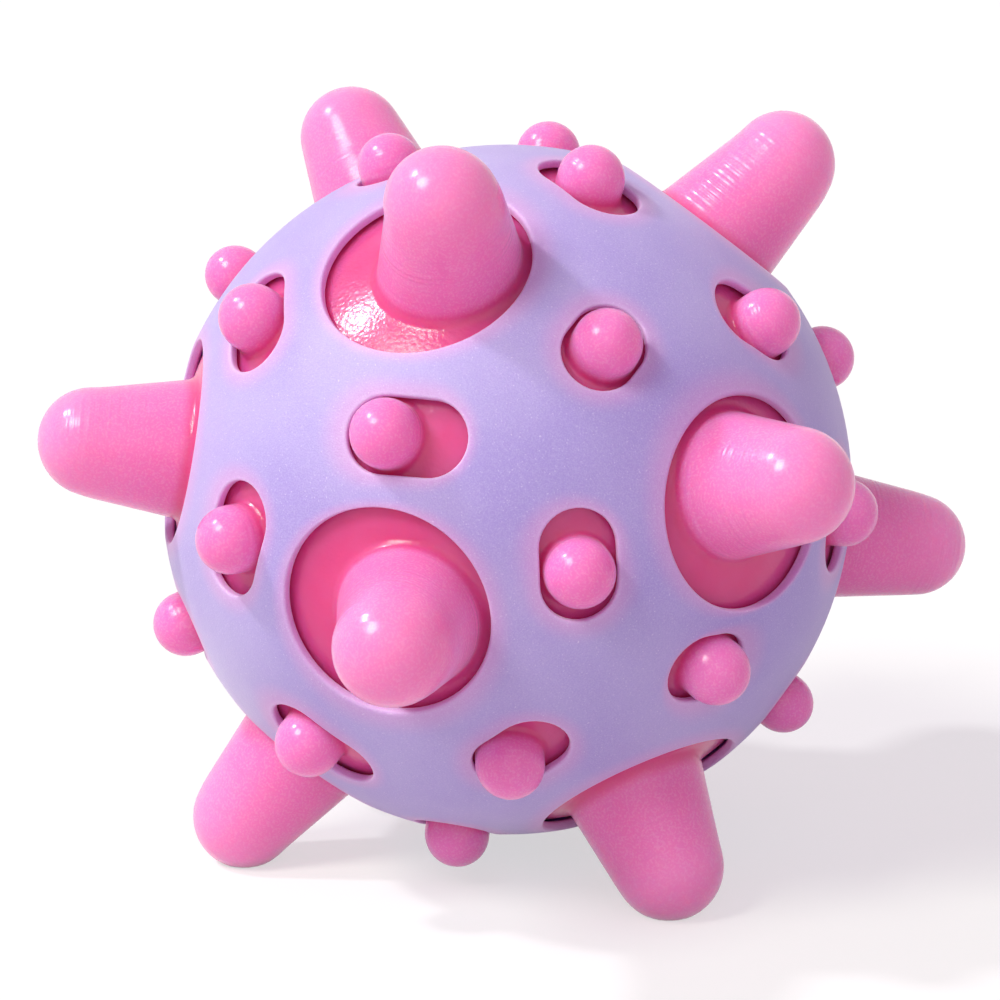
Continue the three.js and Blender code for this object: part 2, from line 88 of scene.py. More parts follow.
# Mesh steps
WEB_STEP = 1.4 * MM
GRID_CLEARANCE = 0.55  # of a step, from the web's inner points to its edge
CORNER_EDGES = 5  # that meet at one corner of the pattern
CORNER_STEPS = 16  # of a corner's outline, on each of its faces
CORNER_RING_STEPS = CORNER_EDGES * CORNER_STEPS
EDGE_STEPS = 6
SLOT_END_STEPS = 18
SLOT_SIDE_STEPS = 3
KNOB_HALF_STEPS = 16
FLARE_STEPS = 8
FLANK_STEPS = 10
TIP_STEPS = 12
ROUND_STEPS = 5
MOUTH_STEPS = 48
CAVITY_STEPS = 24
HEAD_STEPS = 8
COIL_STEPS = 36
WIRE_SIDES = 10
MERGE_DISTANCE = 0.002 * MM
ON_AXIS = 1e-7
FLAT_TOLERANCE = 1e-9
KEEP_INSIDE = 1  # delaunay_2d_cdt's choice of the triangles inside the outline

# Camera, from the photograph
CAMERA_AZIMUTH = math.radians(20)
CAMERA_ELEVATION = math.radians(13)
CAMERA_DISTANCE = 324 * MM
CAMERA_LENS_PX = 3086
CAMERA_NEAR = 10 * MM
SENSOR_WIDTH = 36
IMAGE_PX = 1000
BALL_CENTRE_PX = (506.8, 489.6)

# How the soft pieces sit in the photograph: millimetres to the right and up, seen from the camera,
# by the pattern's corner, or by the two corners of its edge
FOOT_SHARE = 0.55  # of a spike's shift, that its foot makes too
SPIKE_SHIFTS = {
    1: (-2.0, -0.1),
    2: (-0.5, -0.2),
    3: (3.9, 2.2),
    4: (2.2, 0.4),
    7: (-0.6, -1.4),
    8: (-0.1, -0.3),
    9: (2.9, -1.2),
    10: (2.9, -0.7),
    11: (0, 0.4),
}
KNOB_SHIFTS = {
    (1, 2): (-0.8, -0.3),
    (1, 3): (0.2, 0.1),
    (2, 3): (-0.9, 0.3),
    (2, 4): (1.9, -2.0),
    (2, 8): (-1.6, 0.8),
    (3, 7): (0.9, 0.3),
    (3, 8): (0.5, 0.1),
    (3, 9): (0.1, -0.3),
    (4, 8): (-0.6, 0.5),
    (7, 11): (-1.3, 2.1),
    (8, 9): (0.4, -0.4),
    (8, 10): (-0.7, -0.9),
    (9, 11): (0.7, 1.0),
}
HOLE_SHIFTS = {3: (0, 1.9), 8: (1.3, -2.0), 9: (-0.8, -1.1)}
SLOT_SHIFTS = {
    (1, 2): (-0.7, 0.1),
    (1, 3): (1.1, -0.6),
    (2, 3): (0.2, 0.9),
    (2, 4): (1.9, -2.0),
    (2, 8): (-2.1, 0.7),
    (3, 7): (0.9, 0.3),
    (3, 8): (0.5, 0.7),
    (3, 9): (1.9, -0.5),
    (4, 8): (-0.6, 0.5),
    (7, 11): (-1.3, 2.1),
    (8, 9): (0.3, -0.5),
    (8, 10): (-1.6, -0.3),
    (9, 11): (1.7, 0.8),
}
SLOT_STRAIGHTS = {
    (2, 3): 1.4 * MM,
    (2, 8): 0.8 * MM,
    (3, 8): 1.7 * MM,
    (8, 9): 0.9 * MM,
    (8, 10): 1.4 * MM,
    (9, 11): 1 * MM,
}
SLOT_TURNS = {(3, 8): math.radians(-19)}  # counter-clockwise, seen from outside
SHIFT_SOFTNESS = 0.05 * MM  # distance from an outline in which its own shift rules
SHIFT_FADE = 1.5  # power by which an outline's pull falls off with distance
LEAST_FACING = 0.4  # cosine to the view, under which a shift stays square to the view
SPIKE_SPAN = math.radians(22)  # angle from a corner's axis that belongs to its spike

# Light, and the floor's whites
FILL_COLOUR = (1, 0.7, 0.96, 1)
FILL_STRENGTH = 0.38
LAMPS = [  # name, direction (right, up, towards the camera), strength, angle in degrees, colour
    ("key", (-0.55, 0.6, 0.58), 2.02, 20, (0.95, 1, 0.83)),
    ("sparkle", (-0.65, 0.74, 0.14), 1.4, 5, (1, 1, 1)),
    ("front", (0.1, 0.05, 1), 0.4, 60, (1, 1, 1)),
]
WHITE = (1, 1, 1, 1)
FLOOR_SHOWN = (0.95, 0.95, 0.95, 1)
FLOOR_BOUNCE = (0.7, 0.7, 0.7, 1)
FLOOR_GLOW = 0.6  # share of the shown floor that no shadow darkens
FLOOR_ROUGHNESS = 0.9
FLOOR_HALF = 3.0

shell_low, shell_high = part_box("outer_shell")
CENTRE = np.array((0, 0, (shell_low.z + shell_high.z) / 2))


def unit(v):
    return v / np.linalg.norm(v)


def camera_axes():
    """Right, up and back, as seen from the camera."""
    sine, cosine = math.sin(CAMERA_AZIMUTH), math.cos(CAMERA_AZIMUTH)
    level = math.cos(CAMERA_ELEVATION)
    back = np.array((sine * level, -cosine * level, math.sin(CAMERA_ELEVATION)))
    right = np.array((cosine, sine, 0))
    return right, np.cross(back, right), back


def three_at(height, first_azimuth):
    """Three unit directions at one height, a third of a turn apart."""
    side = math.sqrt(1 - height * height)
    turns = [math.radians(first_azimuth + 120 * i) for i in range(3)]
    return [np.array((side * math.cos(t), side * math.sin(t), height)) for t in turns]


# The icosahedron that the pattern follows, standing on one face
HIGH = math.sqrt((5 + 2 * math.sqrt(5)) / 15)
LOW = math.sqrt((5 - 2 * math.sqrt(5)) / 15)
CORNERS = three_at(-HIGH, 90) + three_at(-LOW, 270) + three_at(LOW, 90) + three_at(HIGH, 270)
ALL_CORNERS = range(len(CORNERS))
NEIGHBOURS = [[j for j in ALL_CORNERS if j != i and CORNERS[i] @ CORNERS[j] > 0] for i in ALL_CORNERS]
EDGES = [(i, j) for i in ALL_CORNERS for j in NEIGHBOURS[i] if i < j]
BOTTOM_FACE = {0, 1, 2}


def outward_faces():
    """Corner triples of the 20 faces, counter-clockwise seen from outside."""
    faces = []
    for i, j in EDGES:
        for k in NEIGHBOURS[i]:
            if k > j and k in NEIGHBOURS[j]:
                facing = np.cross(CORNERS[i], CORNERS[j]) @ CORNERS[k] > 0
                faces.append((i, j, k) if facing else (i, k, j))
    return faces


FACES = outward_faces()


def edge_axis(edge):
    """Direction from the ball's centre to the middle of an edge."""
    return unit(CORNERS[edge[0]] + CORNERS[edge[1]])


def edge_line(edge):
    """Direction along an edge, from its first corner to its second."""
    return unit(CORNERS[edge[1]] - CORNERS[edge[0]])


def around(axis, toward, angle, turn):
    """Direction at an angle from an axis, turned round it from the side of another direction."""
    side = unit(toward - axis * (axis @ toward))
    other = np.cross(axis, side)
    return axis * math.cos(angle) + (side * math.cos(turn) + other * math.sin(turn)) * math.sin(angle)


def steps(start, end, count):
    """Values from start towards end, without the end."""
    return [start + (end - start) * i / count for i in range(count)]


def half_slot(half_width, half_straight, end_steps, side_steps):
    """Half of a slot's outline as (across, along) pairs, from one side of the edge's line to the other."""
    first = [(s, -half_width) for s in steps(0, half_straight, side_steps)] if half_straight else []
    turns = steps(math.pi, 0, end_steps)
    end = [(half_straight + half_width * math.sin(t), half_width * math.cos(t)) for t in turns]
    last = [(s, half_width) for s in steps(half_straight, 0, side_steps)] if half_straight else []
    return first + end + last + [(0, half_width)]


def on_edge(i, j, inward, radius, across, along):
    """Point beside the middle of an edge, at a distance from the ball's centre."""
    rise = math.sqrt(radius * radius - across * across - along * along)
    return inward * across + edge_line((i, j)) * along + edge_axis((i, j)) * rise


class Pattern:
    """One layer of the pattern: a round outline at each corner and a slot at each edge, at one radius."""

    def __init__(self, radius, corner_angle, half_width, half_straight, end_steps, side_steps):
        self.radius = radius
        self.corner_angle = corner_angle
        self.half_width = half_width
        self.half_straight = half_straight
        self.slot_steps = (end_steps, side_steps)

    def half_slot(self, i, j):
        straight = self.half_straight
        if straight:
            straight = SLOT_STRAIGHTS.get((min(i, j), max(i, j)), straight)
        return half_slot(self.half_width, straight, *self.slot_steps)

    def corner_loop(self, i):
        first = CORNERS[NEIGHBOURS[i][0]]
        turns = steps(0, 2 * math.pi, CORNER_RING_STEPS)
        return [self.radius * around(CORNERS[i], first, self.corner_angle, t) for t in turns]

    def slot_loop(self, i, j):
        across = np.cross(edge_line((i, j)), edge_axis((i, j)))
        half = self.half_slot(i, j)
        there = [on_edge(i, j, across, self.radius, s, w) for s, w in half]
        back = [on_edge(i, j, -across, self.radius, s, w) for s, w in reversed(half)]
        return there[:-1] + back[:-1]

    def face_outline(self, face):
        """The web's edge on one face, counter-clockwise."""
        outline = []
        for k in range(3):
            i, j, other = face[k], face[(k + 1) % 3], face[(k + 2) % 3]
            middle = edge_axis((i, j))
            inward = unit(CORNERS[other] - middle * (middle @ CORNERS[other]))
            half_edge = math.acos(CORNERS[i] @ CORNERS[j]) / 2
            near_slot = half_edge - math.asin(self.half_width / self.radius)
            for a in steps(self.corner_angle, near_slot, EDGE_STEPS):
                outline.append(self.radius * around(CORNERS[i], CORNERS[j], a, 0))
            outline += [on_edge(i, j, inward, self.radius, s, w) for s, w in self.half_slot(i, j)]
            for a in steps(near_slot, self.corner_angle, EDGE_STEPS)[1:]:
                outline.append(self.radius * around(CORNERS[j], CORNERS[i], a, 0))
            for t in steps(0, -2 * math.pi / CORNER_EDGES, CORNER_STEPS):
                outline.append(self.radius * around(CORNERS[j], CORNERS[i], self.corner_angle, t))
        return outline

    def web(self, face, hole=()):
        """Triangles of the web on one face, round an extra hole in its middle if one is given."""
        flat = FlatFace(face)
        outline = [flat.lay(p) for p in self.face_outline(face)]
        inner = [flat.lay(p) for p in hole]
        fill = flat.grid(WEB_STEP / self.radius, outline, inner)
        rim = [(n, (n + 1) % len(outline)) for n in range(len(outline))]
        first = len(outline)
        rim += [(first + n, first + (n + 1) % len(inner)) for n in range(len(inner))]
        points = [Vector(p) for p in outline + inner + fill]
        points, _, triangles = delaunay_2d_cdt(points, rim, [], KEEP_INSIDE, FLAT_TOLERANCE)[:3]
        places = [unit(flat.lift(p)) * self.radius for p in points]
        middles = [sum((points[n] for n in t), Vector((0, 0))) / 3 for t in triangles]
        return places, [t for t, middle in zip(triangles, middles) if not inside(middle, inner)]


def inside(p, outline):
    """Whether a flat point lies in an outline."""
    crossings = 0
    for a, b in zip(outline, outline[1:] + outline[:1]):
        if (a[1] > p[1]) != (b[1] > p[1]):
            reach = a[0] + (p[1] - a[1]) * (b[0] - a[0]) / (b[1] - a[1])
            crossings += p[0] < reach
    return crossings % 2 == 1


class FlatFace:
    """A face of the pattern laid flat, seen from the ball's centre."""

    def __init__(self, face):
        self.normal = unit(sum(CORNERS[i] for i in face))
        self.x = unit(CORNERS[face[0]] - self.normal * (self.normal @ CORNERS[face[0]]))
        self.y = np.cross(self.normal, self.x)

    def lay(self, p):
        depth = p @ self.normal
        return (p @ self.x / depth, p @ self.y / depth)

    def lift(self, p):
        return self.normal + self.x * p[0] + self.y * p[1]

    def grid(self, step, outline, hole):
        """Points of a triangular grid inside the outline, clear of its edge."""
        edge = np.array(outline + hole)
        reach = np.abs(edge).max()
        row_share = math.sqrt(0.75)
        rows = int(reach / (step * row_share))
        points = []
        for row in range(-rows, rows + 1):
            y = row * step * row_share
            shift = step / 2 * (row % 2)
            for x in np.arange(-rows, rows + 1) * step + shift:
                clear = np.min(np.hypot(edge[:, 0] - x, edge[:, 1] - y)) > GRID_CLEARANCE * step
                if clear and inside((x, y), outline) and not inside((x, y), hole):
                    points.append((x, y))
        return points


class Build:
    """Collects loops and webs, and joins them into one closed mesh round the ball's centre."""

    def __init__(self):
        self.mesh = bmesh.new()

    def loft(self, loops):
        """Faces between loops that have as many points each. The first and the last may be one point."""
        rings = [[self.mesh.verts.new(p) for p in loop] for loop in loops]
        for a, b in zip(rings, rings[1:]):
            count = max(len(a), len(b))
            for n in range(count):
                m = (n + 1) % count
                quad = [a[n % len(a)], a[m % len(a)], b[m % len(b)], b[n % len(b)]]
                self.mesh.faces.new(dict.fromkeys(quad))

    def patch(self, places, triangles):
        verts = [self.mesh.verts.new(p) for p in places]
        for t in triangles:
            self.mesh.faces.new([verts[n] for n in t])

    def object(self, name, body, node, material, bend, values=None):
        """The finished piece, each point moved by a bending rule, with named values kept at its points."""
        bmesh.ops.remove_doubles(self.mesh, verts=self.mesh.verts[:], dist=MERGE_DISTANCE)
        bmesh.ops.recalc_face_normals(self.mesh, faces=self.mesh.faces[:])
        places = np.array([v.co for v in self.mesh.verts])
        for v, place in zip(self.mesh.verts, bend(places) + CENTRE):
            v.co = place
        for f in self.mesh.faces:
            f.smooth = True
        data = bpy.data.meshes.new(name)
        self.mesh.to_mesh(data)
        self.mesh.free()
        for key, value in (values or {}).items():
            data.attributes.new(key, "FLOAT", "POINT").data.foreach_set("value", value(places))
        data.materials.append(material)
        piece = bpy.data.objects.new(name, data)
        bpy.context.scene.collection.objects.link(piece)
        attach(piece, body)
        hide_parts(node)


def seen_shift(right_mm, up_mm, axis):
    """A shift given as seen from the camera, square to an axis where the axis faces the camera."""
    right, up, back = camera_axes()
    shift = (right * right_mm + up * up_mm) * MM
    facing = axis @ back
    if facing > LEAST_FACING:
        shift -= back * (shift @ axis) / facing
    return shift


def gaps(places, radius, corner_reach, half_width, half_straight):
    """How far each point lies from each outline on one sphere: from the corners, then from the edges."""
    on_sphere = places * (radius / np.linalg.norm(places, axis=1))[:, None]
    columns = []
    for corner in CORNERS:
        angle = np.arccos(np.clip(on_sphere @ corner / radius, -1, 1))
        columns.append(angle * radius - corner_reach)
    for i, j in EDGES:
        line, axis = edge_line((i, j)), edge_axis((i, j))
        straight = SLOT_STRAIGHTS.get((i, j), half_straight) if half_straight else 0
        across = np.maximum(np.abs(on_sphere @ np.cross(line, axis)) - straight, 0)
        beside = np.hypot(across, on_sphere @ line) - half_width
        columns.append(np.where(on_sphere @ axis > 0, beside, radius))
    return np.maximum(np.stack(columns, axis=1), 0)


def skin_gaps(places):
    return gaps(places, SKIN_RADIUS, SPIKE_HOLE, SLOT_HALF_WIDTH, SLOT_HALF_STRAIGHT)


def turn_shift(places, axis, angle):
    """How far a turn about an axis takes each point, at most as far as at a slot's end."""
    aside = places - np.outer(places @ axis, axis)
    reach = np.linalg.norm(aside, axis=1)
    slot_end = SLOT_HALF_STRAIGHT + SLOT_HALF_WIDTH
    aside *= (slot_end / np.maximum(reach, slot_end))[:, None]
    return np.cross(axis, aside) * math.sin(angle) - aside * (1 - math.cos(angle))


def slide(places, from_outlines, corner_shifts, edge_shifts, edge_turns):
    """Slides each outline whole along the sphere, and what lies between them softly along with them."""
    by_corner = [seen_shift(*corner_shifts.get(i, (0, 0)), CORNERS[i]) for i in ALL_CORNERS]
    by_edge = [seen_shift(*edge_shifts.get(e, (0, 0)), edge_axis(e)) for e in EDGES]
    pull = (from_outlines + SHIFT_SOFTNESS) ** -SHIFT_FADE
    pull /= pull.sum(axis=1, keepdims=True)
    moved = places + pull @ np.array(by_corner + by_edge)
    for edge, angle in edge_turns.items():
        share = pull[:, len(CORNERS) + EDGES.index(edge)]
        moved = moved + turn_shift(places, edge_axis(edge), angle) * share[:, None]
    return moved * (np.linalg.norm(places, axis=1) / np.linalg.norm(moved, axis=1))[:, None]


def bend_skin(places):
    return slide(places, skin_gaps(places), HOLE_SHIFTS, SLOT_SHIFTS, SLOT_TURNS)


def bend_ball(places):
    outside = np.linalg.norm(places, axis=1) > BALL_RADIUS - MM
    from_feet = gaps(places, BALL_RADIUS, SPIKE_HOLE, KNOB_RADIUS + KNOB_FILLET, 0)
    foot_shifts = {i: (FOOT_SHARE * right, FOOT_SHARE * up) for i, (right, up) in SPIKE_SHIFTS.items()}
    reach = np.linalg.norm(places, axis=1)
    along = np.clip((reach - BALL_RADIUS) / (SPIKE_CENTRE - BALL_RADIUS), 0, 1)
    near = [places @ corner > reach * math.cos(SPIKE_SPAN) for corner in CORNERS]
    places = np.where(outside[:, None], slide(places, from_feet, foot_shifts, KNOB_SHIFTS, {}), places)
    for corner, (right, up) in SPIKE_SHIFTS.items():
        axis = CORNERS[corner]
        shift = seen_shift(right, up, axis)
        slid = (shift - axis * (shift @ axis)) * FOOT_SHARE
        places = places + (shift - slid) * (along * near[corner])[:, None]
    places[:, 2] = np.maximum(places[:, 2], -CENTRE[2])
    return places


def unbent(places):
    return places


def rim_distance(places):
    """How far each point of the skin lies from the nearest hole, in millimetres."""
    return skin_gaps(places).min(axis=1) / MM


def quarter(from_angle, to_angle):
    return [from_angle + (to_angle - from_angle) * n / ROUND_STEPS for n in range(ROUND_STEPS + 1)]


def rim_profile():
    """(how far back from the hole's wall, distance from the ball's centre) over a rounded rim."""
    inner = SKIN_RADIUS - SKIN_WALL
    turns = quarter(0, math.pi / 2)
    over = [(RIM_ROUND * (1 - math.sin(t)), SKIN_RADIUS - RIM_ROUND * (1 - math.cos(t))) for t in turns]
    under = [(back, inner + SKIN_RADIUS - r) for back, r in reversed(over)]
    return over + under


def skin_layer(back, radius):
    """The skin's pattern at one radius, its outlines that far back from the holes' walls."""
    hole_angle = math.asin(SPIKE_HOLE / SKIN_RADIUS) + back / SKIN_RADIUS
    half_width = SLOT_HALF_WIDTH + back
    return Pattern(radius, hole_angle, half_width, SLOT_HALF_STRAIGHT, SLOT_END_STEPS, SLOT_SIDE_STEPS)


def make_skin(material):
    """The skin: an outer and an inner web, joined by a rounded rim in each hole."""
    build = Build()
    layers = [skin_layer(back, radius) for back, radius in rim_profile()]
    for layer in (layers[0], layers[-1]):
        for face in FACES:
            build.patch(*layer.web(face))
    for i in ALL_CORNERS:
        build.loft([layer.corner_loop(i) for layer in layers])
    for i, j in EDGES:
        build.loft([layer.slot_loop(i, j) for layer in layers])
    values = {"rim": rim_distance}
    build.object("skin", "skin", "outer_shell", material, bend_skin, values)


def arc(x, y, radius, start, end, count):
    angles = [start + (end - start) * n / count for n in range(count + 1)]
    return [(x + radius * math.cos(a), y + radius * math.sin(a)) for a in angles]


def grown_profile(tip_radius, tip_centre, taper, fillet):
    """(radius, distance from the ball's centre) of a spike or knob, from its flare to near its tip."""
    reach = BALL_RADIUS + fillet
    offset = tip_radius + fillet + tip_centre * math.sin(taper)
    angle = math.acos(offset / reach) + taper
    middle = (reach * math.cos(angle), reach * math.sin(angle))
    flare = arc(*middle, fillet, angle - math.pi, taper - math.pi, FLARE_STEPS)
    tip = arc(0, tip_centre, tip_radius, taper, math.pi / 2, TIP_STEPS)
    (x0, y0), (x1, y1) = flare[-1], tip[0]
    flank = [(x0 + (x1 - x0) * t, y0 + (y1 - y0) * t) for t in steps(0, 1, FLANK_STEPS)[1:]]
    return flare + flank + tip[:-1]


def ring_about(axis, toward, turns, radius, height):
    side = unit(toward - axis * (axis @ toward))
    other = np.cross(axis, side)
    return [axis * height + (side * math.cos(t) + other * math.sin(t)) * radius for t in turns]


def make_ball(material):
    """The hollow ball with its spikes and knobs, and the mouth that the plug closes."""
    spike = grown_profile(SPIKE_TIP_RADIUS, SPIKE_CENTRE, SPIKE_TAPER, SPIKE_FILLET)
    knob = grown_profile(KNOB_RADIUS, KNOB_CENTRE, 0, KNOB_FILLET)
    spike_foot = math.atan2(*spike[0])
    layer = Pattern(BALL_RADIUS, spike_foot, knob[0][0], 0, KNOB_HALF_STEPS, 0)
    build = Build()
    mouth_turns = steps(0, 2 * math.pi, MOUTH_STEPS)
    down = np.array((0, 0, -1.0))
    front = np.array((0, 1.0, 0))
    mouth_height = math.sqrt(BALL_RADIUS**2 - MOUTH_RADIUS**2)
    mouth = ring_about(down, front, mouth_turns, MOUTH_RADIUS, mouth_height)
    for face in FACES:
        is_bottom = set(face) == BOTTOM_FACE
        build.patch(*layer.web(face, mouth if is_bottom else ()))
    for i in ALL_CORNERS:
        turns = steps(0, 2 * math.pi, CORNER_RING_STEPS)
        toward = CORNERS[NEIGHBOURS[i][0]]
        rings = [ring_about(CORNERS[i], toward, turns, r, h) for r, h in spike]
        point = CORNERS[i] * (SPIKE_CENTRE + SPIKE_TIP_RADIUS)
        build.loft(rings + [[point]])
    for i, j in EDGES:
        axis, line = edge_axis((i, j)), edge_line((i, j))
        turns = steps(0, 2 * math.pi, 2 * KNOB_HALF_STEPS)
        rings = [ring_about(axis, -line, turns, r, h) for r, h in knob]
        point = axis * (KNOB_CENTRE + KNOB_RADIUS)
        build.loft(rings + [[point]])
    cavity = BALL_RADIUS - BALL_WALL
    seat = BALL_RADIUS - PLUG_SEAT_DEPTH
    throat = math.asin(THROAT_RADIUS / cavity)
    inside_rings = [(MOUTH_RADIUS, mouth_height), (MOUTH_RADIUS, seat), (THROAT_RADIUS, seat)]
    angles = steps(throat, math.pi, CAVITY_STEPS)
    inside_rings += [(cavity * math.sin(a), cavity * math.cos(a)) for a in angles]
    rings = [ring_about(down, front, mouth_turns, r, h) for r, h in inside_rings]
    build.loft(rings + [[-down * cavity]])
    build.object("ball", "ball", "inner_ball", material, bend_ball)


def rounded(outline, radius):
    """An open outline with its corners rounded, except at its ends."""
    points = [np.array(p) for p in outline]
    soft = [points[0]]
    for before, corner, after in zip(points, points[1:], points[2:]):
        reach = min(radius, np.linalg.norm(before - corner) / 2, np.linalg.norm(after - corner) / 2)
        start = corner + unit(before - corner) * reach
        end = corner + unit(after - corner) * reach
        for t in steps(0, 1, ROUND_STEPS) + [1]:
            soft.append(start * (1 - t) ** 2 + corner * 2 * t * (1 - t) + end * t * t)
    return soft + [points[-1]]


def turned(outline):
    """Loops of a (radius, height) outline turned round the upright axis."""
    turns = steps(0, 2 * math.pi, MOUTH_STEPS)
    up = np.array((0, 0, 1.0))
    side = np.array((1.0, 0, 0))
    return [[up * z] if r < ON_AXIS else ring_about(up, side, turns, r, z) for r, z in outline]


def under_sphere(radius, x):
    """(radius, height) of a point low on a sphere round the ball's centre."""
    return (x, -math.sqrt(radius * radius - x * x))


def make_plug(material):
    """Soft plug: head in the ball's wall, barb behind it, and a cup that grips the capsule."""
    capsule_low, capsule_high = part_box("capsule_base")
    floor = capsule_low.z - CENTRE[2] - SEAT
    cup_inside = capsule_high.x + FIT
    cup_outside = cup_inside + CUP_WALL
    seat = PLUG_SEAT_DEPTH - BALL_RADIUS - SEAT
    behind = BALL_RADIUS - BALL_WALL - FIT
    lip = under_sphere(behind, PLUG_LIP_RADIUS)
    lip_top = lip[1] + PLUG_LIP_HEIGHT
    head = [under_sphere(BALL_RADIUS - FIT, x) for x in steps(0, PLUG_HEAD_RADIUS, HEAD_STEPS)]
    neck = [(PLUG_HEAD_RADIUS, seat), (PLUG_NECK_RADIUS, seat), under_sphere(behind, PLUG_NECK_RADIUS)]
    stem = [lip, (PLUG_STEM_RADIUS, lip_top), (PLUG_STEM_RADIUS, floor - CUP_WALL)]
    cup = [(cup_inside, floor - CUP_WALL), (cup_outside, floor), (cup_outside, floor + CUP_DEPTH)]
    cup += [(cup_inside, floor + CUP_DEPTH), (cup_inside, floor), (0, floor)]
    outline = head + [under_sphere(BALL_RADIUS - FIT, PLUG_HEAD_RADIUS)] + neck + stem + cup
    build = Build()
    build.loft(turned(rounded(outline, PLUG_ROUND)))
    build.object("plug", "ball", "ball_plug", material, unbent)


def make_sleeve(material):
    """Film shrunk round the stack of cells, with soft edges."""
    low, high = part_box("cell_sleeve")
    bottom, top = low.z - CENTRE[2], high.z - CENTRE[2]
    outside = high.x
    inside = outside - SLEEVE_WALL
    middle = outside - SLEEVE_WALL / 2
    half = [(middle, bottom), (outside, bottom), (outside, top), (middle, top)]
    other = [(middle, top), (inside, top), (inside, bottom), (middle, bottom)]
    build = Build()
    build.loft(turned(rounded(half, SLEEVE_WALL) + rounded(other, SLEEVE_WALL)[1:]))
    build.object("sleeve", "ball", "cell_sleeve", material, unbent)


def make_coil(material):
    """The bounce switch's coil, as one round wire."""
    low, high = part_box("vibration_spring")
    foot = np.array(((low.x + high.x) / 2, (low.y + high.y) / 2, FIT + COIL_WIRE / 2))
    up = np.array((0, 0, 1.0))
    sides = steps(0, 2 * math.pi, WIRE_SIDES)
    rings = []
    for n in range(COIL_TURNS * COIL_STEPS + 1):
        turn = 2 * math.pi * n / COIL_STEPS
        out = np.array((math.cos(turn), math.sin(turn), 0))
        middle = foot + out * COIL_RADIUS + up * (COIL_PITCH * n / COIL_STEPS)
        rings.append([middle + (out * math.cos(a) + up * math.sin(a)) * COIL_WIRE / 2 for a in sides])
    ends = [[sum(ring) / len(ring)] for ring in (rings[0], rings[-1])]
    build = Build()
    build.loft(ends[:1] + rings + ends[1:])
    build.object("coil", "switch_coil", "vibration_spring", material, unbent)


def srgb(red, green, blue):
    """A colour as seen on screen, 0 to 255, as the linear value that a shader takes."""
    def linear(c):
        c = c / 255
        return c / 12.92 if c <= 0.04045 else ((c + 0.055) / 1.055) ** 2.4
    return (linear(red), linear(green), linear(blue), 1)


# Colours of the two rubbers
SKIN_DEEP = srgb(168, 152, 219)
SKIN_PALE = srgb(181, 167, 225)
# Painted glow: pink round the holes, standing in for light from the pink ball shining through the skin
SKIN_PAINTED_GLOW = srgb(234, 160, 214)  # pink that shines through round the holes
# Painted light: lighter lavender on the rims' walls, standing in for light where the walls lie in shade
SKIN_PAINTED_EDGE_LIGHT = srgb(220, 196, 244)
SKIN_FROST = srgb(226, 218, 246)
SKIN_SPECK = srgb(236, 228, 250)
# Painted shade: deeper, redder pink down at the ball, standing in for shade in the recesses and light
# passing through thick rubber
BALL_GROUND_PAINTED_SHADE = srgb(229, 69, 140)
BALL_GROWN = srgb(240, 122, 192)
# Painted glow: paler pink at the tips, standing in for light shining through the thinner rubber
BALL_TIP_PAINTED_GLOW = srgb(244, 139, 199)
BALL_CLOUDED = srgb(248, 168, 210)
BALL_DUST = srgb(252, 200, 226)

# Sizes of the finishes' spots and reliefs
SKIN_CLOUD = 14 * MM
SKIN_GRAIN = 0.16 * MM
SKIN_RIPPLE = 0.9 * MM
SKIN_RELIEF = 0.035 * MM
# Reach of the painted glow round the holes and of the painted light on their rims
HALO_FROM_MM = 0.3  # from a hole, as in the rim values
HALO_TO_MM = 2.6
EDGE_TO_MM = 0.7
BALL_CLOUD = 6 * MM
# Painted shade: height over which the deeper colour at the ball turns into the grown colour
GROUND_FADE = 1.6 * MM  # above the ball's surface
# Painted glow: height above the ball from which the spikes and knobs turn paler towards their tips
TIP_GLOW_FROM = 2 * MM
TURNING_PITCH = 0.5 * MM
MARK_PATCH = 8 * MM
GLOSS_PATCH = 4 * MM
PEBBLE = 0.45 * MM
PEBBLE_SHARE = 0.5  # of the turning marks' relief
DUST_SPOT = 0.24 * MM
BALL_RELIEF = 0.07 * MM
MOULD_CLOUD = 3 * MM
MOULD_GRAIN = 0.4 * MM
MOULD_RELIEF = 0.01 * MM
MOULD_LIGHTER = 12  # out of 255
STAIN = 1.5 * MM
STAIN_DARKER = 22  # out of 255
SCUFF = 0.4 * MM
NOISE_MIDDLE = 0.5


